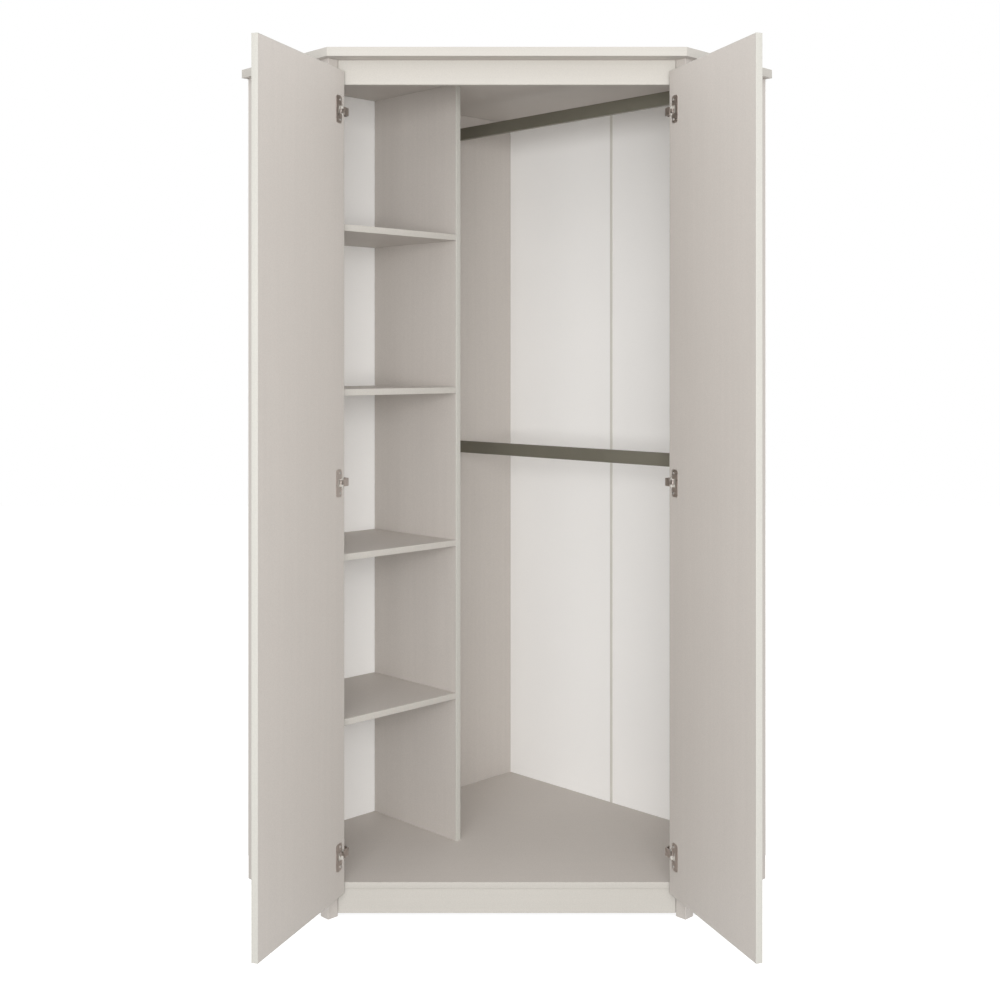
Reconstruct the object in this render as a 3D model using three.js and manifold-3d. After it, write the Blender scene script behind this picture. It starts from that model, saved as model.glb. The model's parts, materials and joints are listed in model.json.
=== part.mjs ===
// Corner wardrobe in light painted board: a five-sided carcass on two square front posts, with two
// tall doors, a bay of four shelves on the left and a hanging bay with two rails on the right.
// Millimetres, +Z up, front towards -Y. The origin is on the floor, central in the open wardrobe's box.
// The doors rest fully open, as their hinges stop them.
import * as THREE from "three";
import { mergeVertices } from "three/addons/utils/BufferGeometryUtils.js";
import Module from "manifold-3d";

const wasm = await Module();
wasm.setup();

// Driving dimensions: carcass plan
const wallLeg = 950; // back corner to the outer face of each short side
const returnDepth = 338; // short side with its post, out from the wall
const board = 16;
const sheet = 3;
const postSide = 30;
const floorSetback = 18; // floor board edge behind the posts' front corners
const frontRailSetback = 2; // pelmet and plinth behind the floor board edge
const shelfWidth = 405.7; // shelf bay, between side panel and divider

// Driving dimensions: heights
const fullHeight = 2108; // floor to the top board's upper face
const footGap = 8; // carcass panels clear of the floor
const plinthHeight = 60;
const topThickness = 22;
const clearHeights = [376, 388, 388, 388]; // shelf compartments below the top one, lowest first

// Driving dimensions: overhang of the top board
const topSideOverhang = 17;
const topFrontOverhang = 24;
const topWallOverhang = 5;

// Driving dimensions: doors
const doorTopDrop = 29; // below the top board
const doorBottom = 60;
const doorGap = 3; // between the closed doors
const doorSideGap = 3; // between a closed door and the post beside it
const doorInset = 14.5; // closed inner face behind the posts' front corners
const openAngle = THREE.MathUtils.degToRad(110);
const axisFromEdge = 5.6;
const axisFromInnerFace = 6.6;

// Clearances and edges
const seam = 0.3; // between touching pieces
const overrun = 5; // how far a cutting tool runs past its cut
const weld = 1e-4; // points nearer than this are one
const boardEase = 0.8; // eased edges of boards

// Concealed hinges: cup in the door
const hingeInset = 97.5; // outer hinges from the door's ends
const middleHingeShare = 0.46; // of the middle shelf compartment's height, from its floor
const cupRadius = 17.5; // of its bore in the door
const cupDepth = 12;
const cupWall = 0.6;
const cupFromEdge = 2.4;
const cupSides = 32;
const flangeStart = 17; // from the door's hinge edge
const flangeEnd = 44; // from the door's hinge edge
const flangeHeight = 66;
const flangeThickness = 1.4;
const flangeCorner = 7;
const cornerSteps = 4;
const mouthHeight = 20.4;
const mouthEnd = 33; // from the door's hinge edge
const hingeScrewPitch = 48;
const hingeScrewsFromEdge = 24;
const hingeScrewRadius = 2.2;
const pinRadius = 1;
const pinSides = 12;

// Concealed hinges: arm and mounting block on the post
const eyeWall = 0.6;
const eyeHeight = 8;
const eyePlay = 0.5; // beside the eye, in the cup's slot
const armThickness = 2.6;
const armHeight = 19;
const crankStart = 7.6; // from the axis to where the arm has its full height
const crankLength = 9; // from the axis to the first bend
const crankAngle = THREE.MathUtils.degToRad(-15); // off the closed door's plane
const neckLength = 19.5;
const neckAngle = THREE.MathUtils.degToRad(70);
const tailLength = 44; // along the post's inner face
const tailThickness = 5;
const tailHeight = 16;
const blockLength = 26;
const blockWidth = 14;
const blockBase = 3;
const blockBaseHeight = 50;

// Knobs, turned
const knobFromEdge = 62; // from the door's free edge
const knobHeight = 1000; // above the door's bottom edge
const knobRadius = 15;
const knobLength = 24;
const knobShares = [
  [0.66, 0],
  [0.66, 0.06],
  [0.43, 0.2],
  [0.43, 0.48],
  [0.88, 0.62],
  [1, 0.75],
  [0.9, 0.88],
  [0.5, 0.98],
]; // of its radius and length
const spigotRadius = 4;
const spigotLength = 9;
const knobSides = 28;

// Hanging rails and their sockets
const railHeight = 34;
const railWidth = 15;
const railCorner = 2;
const railWall = 1.2;
const railFromFront = 88; // rail centre behind the short sides' front edges
const upperRailDrop = 51; // below the top board
const lowerRailLift = 1002; // above the floor board
const socketHeight = 62;
const socketWidth = 26;
const socketPlate = 2.5;
const socketDepth = 12;
const socketWall = 2;
const arcSteps = 4; // in each round end or corner

// Shelf dowels, glued in the shelf ends
const dowelRadius = 4;
const dowelReach = 10; // out of the shelf end
const dowelBed = 20; // inside the shelf
const dowelInset = 60; // from the shelf's front and back edges
const dowelSides = 12;

// Strip that joins the right-hand back sheets
const stripPlace = 425; // from the back corner
const stripWidth = 9;
const stripWall = 1;

// Feet
const glideRadius = 7.5;
const glideInset = 40;
const footSides = 24;
const supportRadius = 20;
const supportSole = 8;
const supportStem = 9; // radius
const supportFlange = 30; // radius
const supportFlangeThickness = 4;
const supportPlace = 620; // from the back corner, along the plan's centre line

// Worked-out heights
const plinthTop = footGap + plinthHeight;
const floorTop = plinthTop + board;
const shelfBottoms = [];
let level = floorTop;
for (const clear of clearHeights) {
  level += clear;
  shelfBottoms.push(level);
  level += board;
}
const ceiling = fullHeight - topThickness;

// Worked-out plan, in distances along the walls from the back corner
const wallAngle = THREE.MathUtils.degToRad(45);
const slope = Math.cos(wallAngle);
const sideInner = wallLeg - board; // inner face of a side panel
const dividerFar = sideInner - shelfWidth; // the divider's face in the shelf bay
const dividerNear = dividerFar - board; // the divider's face in the hanging bay
const postInner = wallLeg - postSide; // the post's face across the front
const postBack = returnDepth - postSide; // the post's face against the side panel
const frontReach = (wallLeg + returnDepth) * slope; // back corner to the posts' front corners
const postsHalfGap = (postInner - returnDepth) * slope; // half the gap between the posts
const railFromWall = returnDepth - railFromFront; // rail centre from the right-hand wall face

// Worked-out door axes and the wardrobe's front and back limits
const left = -1;
const right = 1;
const doorHeight = ceiling - doorTopDrop - doorBottom;
const doorWidth = postsHalfGap - doorSideGap - doorGap / 2;
const middleBay = Math.floor(clearHeights.length / 2);
const middleFloor = shelfBottoms[middleBay - 1] + board;
const middleHinge = middleFloor + middleHingeShare * clearHeights[middleBay] - doorBottom;
const hingeHeights = [hingeInset, middleHinge, doorHeight - hingeInset];
const axisX = doorWidth + doorGap / 2 - axisFromEdge;
const axisDepth = doorInset - axisFromInnerFace; // behind the posts' front corners
const doorReach = doorWidth - axisFromEdge;
const tipReach = doorReach * Math.sin(openAngle) - axisFromInnerFace * Math.cos(openAngle);
const backReach = frontReach + topWallOverhang / slope;
const frontLine = (tipReach - axisDepth - backReach) / 2; // Y of the posts' front corners
const backCorner = frontLine + frontReach;
const cupCentre = cupFromEdge + cupRadius - axisFromEdge; // from the axis, along the door
const cupOutside = cupRadius - seam;
const cupInside = cupOutside - cupWall;
const flangeUnder = axisFromInnerFace + seam;
const flangeOver = flangeUnder + flangeThickness;
const cupRim = flangeUnder + seam;
const eyeBore = pinRadius + seam;

// Plan point at p along the left wall and q along the right wall from the back corner
function wall(p, q) {
  return [(q - p) * slope, backCorner - (p + q) * slope];
}

// Plan rectangle between two distances along each wall
function wallRect(p0, p1, q0, q1) {
  return [wall(p0, q0), wall(p1, q0), wall(p1, q1), wall(p0, q1)];
}

function rect(x0, x1, y0, y1) {
  return [
    [x0, y0],
    [x1, y0],
    [x1, y1],
    [x0, y1],
  ];
}

function mirrored(outline) {
  return outline.map(([x, y]) => [-x, y]);
}

// Half outline on the left, closed with its mirror image on the right
function symmetric(outline) {
  return [...outline, ...mirrored(outline).reverse()];
}

const finishes = {
  board: { color: 0xe3dfd7, roughness: 0.55, metalness: 0 },
  sheet: { color: 0xefedea, roughness: 0.6, metalness: 0 },
  bronze: { color: 0x67624f, roughness: 0.4, metalness: 0.6 },
  nickel: { color: 0x97928c, roughness: 0.32, metalness: 0.9 },
  plastic: { color: 0xd9d6cf, roughness: 0.5, metalness: 0 },
};

const wardrobe = new THREE.Group();

function addPiece(parent, name, geometry, finish) {
  const mesh = new THREE.Mesh(geometry, new THREE.MeshStandardMaterial(finish));
  mesh.name = name;
  parent.add(mesh);
  return mesh;
}

function toSolid(geometry) {
  const bare = geometry.clone();
  bare.deleteAttribute("normal");
  bare.deleteAttribute("uv");
  const merged = mergeVertices(bare, weld);
  const vertProperties = merged.getAttribute("position").array;
  const triVerts = new Uint32Array(merged.index.array);
  return new wasm.Manifold(new wasm.Mesh({ numProp: 3, vertProperties, triVerts }));
}

function toGeometry(made) {
  const mesh = made.getMesh();
  const geometry = new THREE.BufferGeometry();
  geometry.setAttribute("position", new THREE.BufferAttribute(mesh.vertProperties, 3));
  geometry.setIndex(new THREE.BufferAttribute(mesh.triVerts, 1));
  geometry.computeVertexNormals();
  return geometry;
}

// One body from a base, the geometries joined to it and then those cut out of it
function combine(base, joins, cuts = []) {
  let made = toSolid(base);
  for (const join of joins) {
    made = made.add(toSolid(join));
  }
  for (const cut of cuts) {
    made = made.subtract(toSolid(cut));
  }
  return toGeometry(made);
}

// What two geometries have in common
function shared(one, other) {
  return toGeometry(toSolid(one).intersect(toSolid(other)));
}

// Upright prism on a plan outline
function prism(outline, bottom, top) {
  const shape = new THREE.Shape(outline.map(([x, y]) => new THREE.Vector2(x, y)));
  const geometry = new THREE.ExtrudeGeometry(shape, { depth: top - bottom, bevelEnabled: false });
  return geometry.translate(0, 0, bottom);
}

// Upright prism with its top and bottom edges eased
function easedPrism(outline, bottom, top) {
  const shape = new THREE.Shape(outline.map(([x, y]) => new THREE.Vector2(x, y)));
  const geometry = new THREE.ExtrudeGeometry(shape, {
    depth: top - bottom - 2 * boardEase,
    bevelThickness: boardEase,
    bevelSize: boardEase,
    bevelOffset: -boardEase,
    bevelSegments: 1,
  });
  return geometry.translate(0, 0, bottom + boardEase);
}

// Outline with the corners cut back that stick out, for the eased upright edges of posts and doors
function easeCorners(outline) {
  const points = outline.map(([x, y]) => new THREE.Vector2(x, y));
  const turn = Math.sign(THREE.ShapeUtils.area(points));
  return points.flatMap((point, index) => {
    const before = points.at(index - 1).clone().sub(point);
    const after = points[(index + 1) % points.length].clone().sub(point);
    if (turn * after.cross(before) < 0) {
      return [point.toArray()];
    }
    const cuts = [before, after].map((edge) => point.clone().add(edge.setLength(boardEase)));
    return cuts.map((cut) => cut.toArray());
  });
}

// Round bar along Y
function barAlongY(radius, y0, y1, sides) {
  return new THREE.CylinderGeometry(radius, radius, y1 - y0, sides).translate(0, (y0 + y1) / 2, 0);
}

// Round bar along Z, centred on the origin
function barAlongZ(radius, height, sides) {
  return new THREE.CylinderGeometry(radius, radius, height, sides).rotateX(Math.PI / 2);
}

function box(x0, x1, y0, y1, height) {
  return new THREE.BoxGeometry(x1 - x0, y1 - y0, height).translate((x0 + x1) / 2, (y0 + y1) / 2, 0);
}

// Plan point on the face that a post turns to the other post, at a depth behind the front line
function besidePost(depth) {
  const along = postInner - seam;
  return wall(along, (frontReach - depth) / slope - along);
}

function makeTopBoard() {
  const side = wallLeg + topSideOverhang;
  const back = -topWallOverhang;
  const frontCorner = (frontReach + topFrontOverhang) / slope - side;
  const outline = symmetric([wall(side, back), wall(side, frontCorner)]);
  outline.push(wall(back, back));
  addPiece(wardrobe, "top_board", easedPrism(outline, ceiling, ceiling + topThickness), finishes.board);
}

// Floor board: five-sided, notched round the posts and the left back panel
function makeFloorBoard() {
  const half = postsHalfGap - seam;
  const side = sideInner - seam;
  const notch = postBack - seam;
  const leftHalf = [
    wall(side, 0),
    wall(side, notch),
    wall(postInner - seam, notch),
    wall(postInner - seam, returnDepth),
    [-half, frontLine + floorSetback],
  ];
  const behind = board + seam;
  const outline = symmetric(leftHalf);
  outline[outline.length - 1] = wall(0, side);
  outline.push(wall(0, behind), wall(dividerNear + seam, behind), wall(dividerNear + seam, 0));
  addPiece(wardrobe, "floor_board", prism(outline, plinthTop, floorTop), finishes.board);
}

// Plinth under the floor board and pelmet under the top board, cut to the posts at their ends
function makeFrontRails() {
  const front = floorSetback + frontRailSetback;
  const half = postsHalfGap - seam;
  const postCorner = wall(postInner - seam, returnDepth);
  const outline = symmetric([besidePost(front + board), postCorner, [-half, frontLine + front]]);
  addPiece(wardrobe, "plinth", prism(outline, footGap, plinthTop), finishes.board);
  addPiece(wardrobe, "pelmet", prism(outline, ceiling - plinthHeight, ceiling), finishes.board);
}

function makePosts() {
  const outline = easeCorners(wallRect(postInner, wallLeg, postBack, returnDepth));
  addPiece(wardrobe, "left_post", prism(outline, 0, ceiling), finishes.board);
  addPiece(wardrobe, "right_post", prism(mirrored(outline), 0, ceiling), finishes.board);
}

// Round bars across the shelf bay's ends between two distances along the left wall, two for a shelf
function dowels(radius, from, to, shelfBottom) {
  const places = [dowelInset, returnDepth - dowelInset];
  return places.map((out) => {
    const bar = barAlongY(radius, 0, to - from, dowelSides).rotateZ(Math.PI - wallAngle);
    const [x, y] = wall(from, out);
    return bar.translate(x, y, shelfBottom + board / 2);
  });
}

function dowelHoles(from, to) {
  return shelfBottoms.flatMap((bottom) => dowels(dowelRadius + seam, from, to, bottom));
}

function makeUprights() {
  const sideOutline = wallRect(sideInner, wallLeg, 0, postBack - seam);
  const holeDepth = dowelReach + seam;
  const side = prism(sideOutline, footGap, ceiling);
  const boredSide = combine(side, [], dowelHoles(sideInner - overrun, sideInner + holeDepth));
  addPiece(wardrobe, "left_side_panel", boredSide, finishes.board);
  addPiece(wardrobe, "right_side_panel", prism(mirrored(sideOutline), footGap, ceiling), finishes.board);
  const backOutline = wallRect(0, dividerNear - seam, 0, board);
  addPiece(wardrobe, "left_back_panel", prism(backOutline, footGap, ceiling), finishes.board);
  const divider = prism(easeCorners(wallRect(dividerNear, dividerFar, 0, returnDepth)), floorTop, ceiling);
  const boredDivider = combine(divider, [], dowelHoles(dividerFar - holeDepth, dividerFar + overrun));
  addPiece(wardrobe, "divider", boredDivider, finishes.board);
}

// Four fixed shelves, notched round the left post, with their dowels
function makeShelves() {
  const near = dividerFar + seam;
  const far = sideInner - seam;
  const outline = [
    wall(near, seam),
    wall(far, seam),
    wall(far, postBack - seam),
    wall(postInner - seam, postBack - seam),
    wall(postInner - seam, returnDepth),
    wall(near, returnDepth),
  ];
  const reach = dowelReach + seam;
  shelfBottoms.forEach((bottom, index) => {
    const ends = [
      ...dowels(dowelRadius, near - reach, near + dowelBed, bottom),
      ...dowels(dowelRadius, far - dowelBed, far + reach, bottom),
    ];
    const shelf = combine(easedPrism(outline, bottom, bottom + board), ends);
    addPiece(wardrobe, `shelf_${index + 1}`, shelf, finishes.board);
  });
}

// Thin back sheets; those of the right-hand wall meet in an H-section strip
function makeBacks() {
  const inner = -seam;
  const outer = inner - sheet;
  const leafEnd = stripWall / 2 + seam;
  const leaves = {
    left_back_sheet: wallRect(dividerNear + seam, wallLeg, outer, inner),
    right_back_sheet_inner: wallRect(outer, inner, 0, stripPlace - leafEnd),
    right_back_sheet_outer: wallRect(outer, inner, stripPlace + leafEnd, wallLeg),
  };
  for (const [name, outline] of Object.entries(leaves)) {
    addPiece(wardrobe, name, prism(outline, plinthTop, ceiling), finishes.sheet);
  }
  const lip = stripWidth / 2;
  const web = stripWall / 2;
  const rear = outer - seam;
  const nearSide = [
    [rear - stripWall, lip],
    [rear, lip],
    [rear, web],
    [0, web],
    [0, lip],
    [stripWall, lip],
  ];
  const section = [
    ...nearSide.map(([p, q]) => wall(p, stripPlace - q)),
    ...nearSide.reverse().map(([p, q]) => wall(p, stripPlace + q)),
  ];
  addPiece(wardrobe, "back_joint_strip", prism(section, floorTop, ceiling), finishes.plastic);
}

// Upright oval section
function oval(height, width) {
  const radius = width / 2;
  const centre = height / 2 - radius;
  const outline = new THREE.Shape();
  outline.absarc(0, centre, radius, 0, Math.PI, false);
  outline.absarc(0, -centre, radius, Math.PI, 2 * Math.PI, false);
  return outline;
}

// Section run along the right-hand wall, between two distances from the back corner
function alongRightWall(section, from, to, height) {
  const geometry = new THREE.ExtrudeGeometry(section, {
    depth: to - from,
    bevelEnabled: false,
    curveSegments: arcSteps,
  });
  const [x, y] = wall(railFromWall, from);
  return geometry.rotateX(Math.PI / 2).rotateZ(wallAngle).translate(x, y, height);
}

// Upright rectangle with round corners
function roundedRect(height, width, corner, ring = THREE.Shape) {
  const across = width / 2 - corner;
  const rise = height / 2 - corner;
  const quarter = Math.PI / 2;
  const outline = new ring();
  outline.absarc(across, rise, corner, 0, quarter, false);
  outline.absarc(-across, rise, corner, quarter, 2 * quarter, false);
  outline.absarc(-across, -rise, corner, 2 * quarter, 3 * quarter, false);
  outline.absarc(across, -rise, corner, 3 * quarter, 4 * quarter, false);
  return outline;
}

// Tube section: a rectangle with round corners and a bore that follows it
function tubeSection(height, width, corner, thickness) {
  const section = roundedRect(height, width, corner);
  const bore = [height - 2 * thickness, width - 2 * thickness, corner - thickness];
  section.holes.push(roundedRect(...bore, THREE.Path));
  return section;
}

function makeRails() {
  const near = board + seam;
  const far = sideInner - seam;
  const middles = {
    upper: ceiling - upperRailDrop - railHeight / 2,
    lower: floorTop + lowerRailLift + railHeight / 2,
  };
  const tube = tubeSection(railHeight, railWidth, railCorner, railWall);
  const ends = socketPlate + seam;
  const rim = socketWall + seam;
  const collarSize = [railHeight + 2 * rim, railWidth + 2 * rim, railCorner + rim];
  const collar = tubeSection(...collarSize, socketWall);
  const plate = oval(socketHeight, socketWidth);
  for (const [place, middle] of Object.entries(middles)) {
    const rail = alongRightWall(tube, near + ends, far - ends, middle);
    addPiece(wardrobe, `${place}_rail`, rail, finishes.bronze);
    const leftPlate = alongRightWall(plate, near, near + socketPlate, middle);
    const leftSocket = combine(leftPlate, [alongRightWall(collar, near, near + socketDepth, middle)]);
    addPiece(wardrobe, `${place}_rail_left_socket`, leftSocket, finishes.bronze);
    const rightPlate = alongRightWall(plate, far - socketPlate, far, middle);
    const rightSocket = combine(rightPlate, [alongRightWall(collar, far - socketDepth, far, middle)]);
    addPiece(wardrobe, `${place}_rail_right_socket`, rightSocket, finishes.bronze);
  }
}

// Door leaf, hinge cups and knob turn together about the hinge axis, which is the group's origin.
// Closed, the leaf runs from there across the front, and its inner face looks along +Y.
function makeDoor(side) {
  const name = side === left ? "left" : "right";
  const door = new THREE.Group();
  door.position.set(side * axisX, frontLine + axisDepth, doorBottom);
  door.rotation.z = side * openAngle;
  const outerFace = axisFromInnerFace - board;
  const outline = rect(-axisFromEdge, doorReach, outerFace, axisFromInnerFace);
  const turned = side === left ? outline : mirrored(outline);
  const boreFloor = axisFromInnerFace - cupDepth - seam;
  const cupBore = barAlongY(cupRadius, boreFloor, axisFromInnerFace + overrun, cupSides);
  const knobBore = barAlongY(spigotRadius + seam, outerFace - overrun, outerFace + spigotLength, knobSides);
  const knobX = -side * (doorReach - knobFromEdge);
  const bores = hingeHeights.map((height) => cupBore.clone().translate(-side * cupCentre, 0, height));
  bores.push(knobBore.translate(knobX, 0, knobHeight));
  const leaf = combine(prism(easeCorners(turned), 0, doorHeight), [], bores);
  addPiece(door, `${name}_door`, leaf, finishes.board);
  hingeHeights.forEach((height, index) => {
    const cup = addPiece(door, `${name}_hinge_cup_${index + 1}`, makeCup(side), finishes.nickel);
    cup.position.z = height;
  });
  const knob = addPiece(door, `${name}_knob`, makeKnob(), finishes.nickel);
  knob.position.set(knobX, outerFace - seam, knobHeight);
  wardrobe.add(door);
}

// Hinge cup with its flange on the door's inner face and the pin across it
function makeCup(side) {
  const floor = axisFromInnerFace - cupDepth;
  const profile = [
    [0, floor],
    [cupOutside, floor],
    [cupOutside, cupRim],
    [cupInside, cupRim],
    [cupInside, floor + cupWall],
    [0, floor + cupWall],
  ];
  const lathePoints = profile.map(([radius, y]) => new THREE.Vector2(radius, y));
  const cup = new THREE.LatheGeometry(lathePoints, cupSides).translate(cupCentre, 0, 0);
  const cutTop = flangeOver + overrun;
  const screwHole = barAlongY(hingeScrewRadius, flangeUnder - overrun, cutTop, pinSides);
  const screws = [-hingeScrewPitch / 2, hingeScrewPitch / 2].map((height) =>
    screwHole.clone().translate(hingeScrewsFromEdge - axisFromEdge, 0, height),
  );
  const mouth = box(-axisFromEdge - overrun, mouthEnd - axisFromEdge, flangeUnder, cutTop, mouthHeight);
  const slotFloor = -eyeBore - eyeWall - eyePlay;
  const slot = box(-axisFromEdge, 0, slotFloor, cupRim + overrun, eyeHeight + 2 * eyePlay);
  const body = barAlongY(cupOutside, floor, flangeUnder, cupSides).translate(cupCentre, 0, 0);
  const pin = shared(barAlongZ(pinRadius, 2 * cupOutside, pinSides), body);
  const cut = combine(cup, [makeFlange()], [mouth, slot, ...screws]);
  const whole = combine(cut, [pin]);
  return side === left ? whole : mirrorGeometry(whole);
}

// Flat flange with round corners
function makeFlange() {
  const low = flangeStart - axisFromEdge + flangeCorner;
  const high = flangeEnd - axisFromEdge - flangeCorner;
  const rise = flangeHeight / 2 - flangeCorner;
  const shape = new THREE.Shape();
  shape.absarc(high, rise, flangeCorner, 0, Math.PI / 2, false);
  shape.absarc(low, rise, flangeCorner, Math.PI / 2, Math.PI, false);
  shape.absarc(low, -rise, flangeCorner, Math.PI, 1.5 * Math.PI, false);
  shape.absarc(high, -rise, flangeCorner, 1.5 * Math.PI, 2 * Math.PI, false);
  const geometry = new THREE.ExtrudeGeometry(shape, {
    depth: flangeThickness,
    bevelEnabled: false,
    curveSegments: cornerSteps,
  });
  return geometry.rotateX(Math.PI / 2).translate(0, flangeOver, 0);
}

// The same piece for the other door, turned over in X with its faces kept outwards
function mirrorGeometry(geometry) {
  return toGeometry(toSolid(geometry).mirror([1, 0, 0]));
}

// Turned knob along -Y, with a spigot that seats in the door
function makeKnob() {
  const head = knobShares.map(([radius, length]) => [radius * knobRadius, length * knobLength]);
  const seat = seam - spigotLength;
  const profile = [[0, seat], [spigotRadius, seat], [spigotRadius, 0], ...head, [0, knobLength]];
  const points = profile.map(([radius, y]) => new THREE.Vector2(radius, y));
  return new THREE.LatheGeometry(points, knobSides).rotateX(Math.PI);
}

// Plan outline of a bent strip: its centre line, widened to a thickness
function ribbon(points, thickness) {
  const path = points.map(([x, y]) => new THREE.Vector2(x, y));
  const normals = path.slice(1).map((point, index) => {
    const run = point.clone().sub(path[index]).normalize();
    return new THREE.Vector2(-run.y, run.x);
  });
  const offsets = path.map((point, index) => {
    const before = normals[Math.max(index - 1, 0)];
    const after = normals[Math.min(index, normals.length - 1)];
    const middle = before.clone().add(after).normalize();
    return middle.multiplyScalar(thickness / 2 / middle.dot(before));
  });
  const over = path.map((point, index) => point.clone().add(offsets[index]).toArray());
  const under = path.map((point, index) => point.clone().sub(offsets[index]).toArray());
  return [...under, ...over.reverse()];
}

function polar(distance, angle, [x, y] = [0, 0]) {
  return [x + distance * Math.cos(angle), y + distance * Math.sin(angle)];
}

const centred = (outline, height) => prism(outline, -height / 2, height / 2);

// Hinge arms and their mounting blocks on the post, in the left-hand form and mirrored for the right.
// Plan points are measured from the hinge axis. The arm's eye turns on the cup's pin, its neck clears
// the door, and its tail lies along the post's inner face on a block.
function makeArms(side) {
  const name = side === left ? "left" : "right";
  const tailAngle = Math.PI - wallAngle;
  const start = polar(crankStart, crankAngle);
  const firstBend = polar(crankLength, crankAngle);
  const secondBend = polar(neckLength, neckAngle, firstBend);
  const end = polar(tailLength, tailAngle, secondBend);
  const blockStart = polar(tailLength - blockLength, tailAngle, secondBend);
  const eye = barAlongZ(eyeBore + eyeWall, eyeHeight, pinSides);
  const crank = centred(ribbon([[0, 0], firstBend], armThickness), eyeHeight);
  const neck = centred(ribbon([start, firstBend, secondBend, blockStart], armThickness), armHeight);
  const tail = centred(ribbon([blockStart, end], tailThickness), tailHeight);
  const bore = barAlongZ(eyeBore, eyeHeight + overrun, pinSides);
  const arm = combine(neck, [crank, eye, tail], [bore]);
  const toFace = postFaceDistance(secondBend) - seam;
  const underTail = tailThickness / 2 + seam;
  const block = centred(blockOutline(blockStart, end, underTail, toFace), blockWidth);
  const base = centred(blockOutline(blockStart, end, toFace - blockBase, toFace), blockBaseHeight);
  const mount = combine(base, [block]);
  hingeHeights.forEach((height, index) => {
    const place = [side * axisX, frontLine + axisDepth, doorBottom + height];
    const pieces = { arm, mount };
    for (const [piece, form] of Object.entries(pieces)) {
      const geometry = side === left ? form : mirrorGeometry(form);
      const mesh = addPiece(wardrobe, `${name}_hinge_${piece}_${index + 1}`, geometry, finishes.nickel);
      mesh.position.set(...place);
    }
  });
}

// Plan outline between two distances from the tail's centre line towards the post
function blockOutline(from, to, near, far) {
  const towardsPost = -Math.PI + wallAngle;
  return [
    polar(near, towardsPost, from),
    polar(far, towardsPost, from),
    polar(far, towardsPost, to),
    polar(near, towardsPost, to),
  ];
}

// Distance from a point near the left hinge axis to the plane of the post's inner face
function postFaceDistance([x, y]) {
  const [axisToX, axisToY] = [-axisX + x, frontLine + axisDepth + y];
  const [faceX, faceY] = wall(postInner, returnDepth);
  return (axisToX - faceX + axisToY - faceY) * slope;
}

// Glides under the panels, and a foot with an adjustable stem's housing under the middle of the floor board
function makeFeet() {
  const glides = {
    left_side: wall(wallLeg - board / 2, glideInset),
    right_side: wall(glideInset, wallLeg - board / 2),
    back_corner: wall(glideInset, board / 2),
    back_divider: wall(dividerNear - glideInset, board / 2),
  };
  for (const [place, [x, y]] of Object.entries(glides)) {
    const glide = barAlongZ(glideRadius, footGap, footSides);
    addPiece(wardrobe, `${place}_glide`, glide, finishes.plastic).position.set(x, y, footGap / 2);
  }
  const flangeBottom = plinthTop - supportFlangeThickness;
  const profile = [
    [0, 0],
    [supportRadius, 0],
    [supportRadius, supportSole],
    [supportStem, supportSole],
    [supportStem, flangeBottom],
    [supportFlange, flangeBottom],
    [supportFlange, plinthTop],
    [0, plinthTop],
  ];
  const points = profile.map(([radius, y]) => new THREE.Vector2(radius, y));
  const foot = new THREE.LatheGeometry(points, footSides).rotateX(Math.PI / 2);
  addPiece(wardrobe, "floor_support_foot", foot, finishes.plastic).position.y = backCorner - supportPlace;
}

makeTopBoard();
makeFloorBoard();
makeFrontRails();
makePosts();
makeUprights();
makeShelves();
makeBacks();
makeRails();
makeFeet();
for (const side of [left, right]) {
  makeDoor(side);
  makeArms(side);
}

export default wardrobe;
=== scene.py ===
"""Looks of a corner wardrobe in light coated board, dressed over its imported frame.

Metres, in the frame's axes: +Z up, front towards -Y, and the doors rest fully open.
The boards of the frame stay and get their finish and rounded edges. Edge bands, rails, knobs, linings of the
hinge cups, screws and nails are made here and sit on the frame's boards.
"""

import json
import logging
import math
from dataclasses import dataclass, field
from enum import Enum
from typing import Any

import bmesh
import bpy
from mathutils import Matrix, Vector


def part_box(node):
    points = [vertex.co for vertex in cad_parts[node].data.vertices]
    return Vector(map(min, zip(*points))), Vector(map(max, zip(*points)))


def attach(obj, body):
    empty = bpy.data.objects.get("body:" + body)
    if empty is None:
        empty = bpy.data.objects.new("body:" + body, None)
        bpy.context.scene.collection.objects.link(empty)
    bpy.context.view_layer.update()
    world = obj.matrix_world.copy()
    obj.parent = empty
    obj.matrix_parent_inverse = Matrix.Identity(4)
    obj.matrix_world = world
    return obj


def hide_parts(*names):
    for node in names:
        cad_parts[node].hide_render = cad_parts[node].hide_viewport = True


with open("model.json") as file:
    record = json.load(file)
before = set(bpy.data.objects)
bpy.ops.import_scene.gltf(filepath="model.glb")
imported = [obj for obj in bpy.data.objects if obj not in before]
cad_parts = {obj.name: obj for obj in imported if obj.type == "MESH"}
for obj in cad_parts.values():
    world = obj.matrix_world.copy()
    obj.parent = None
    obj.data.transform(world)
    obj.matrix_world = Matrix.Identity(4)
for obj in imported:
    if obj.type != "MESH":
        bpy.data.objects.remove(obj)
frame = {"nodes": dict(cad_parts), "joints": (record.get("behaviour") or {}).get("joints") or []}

UP = Vector((0, 0, 1))
FRONT = Vector((0, -1, 0))
RIGHT = Vector((1, 0, 0))
MIRROR = Matrix.Diagonal((-1, 1, 1, 1))
SMOOTH_ANGLE = math.radians(32)  # steeper edges stay sharp, or get rounded on the frame's boards
STEEP_ANGLE = math.radians(34)  # steeper edges stay sharp on a rounded board
WELD_REACH = 0.00001
ARRIS_STEPS = 3
MIX_FIRST, MIX_SECOND, MIX_RESULT = 6, 7, 2  # the mix node's sockets for colours
log = logging.getLogger("wardrobe")

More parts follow.
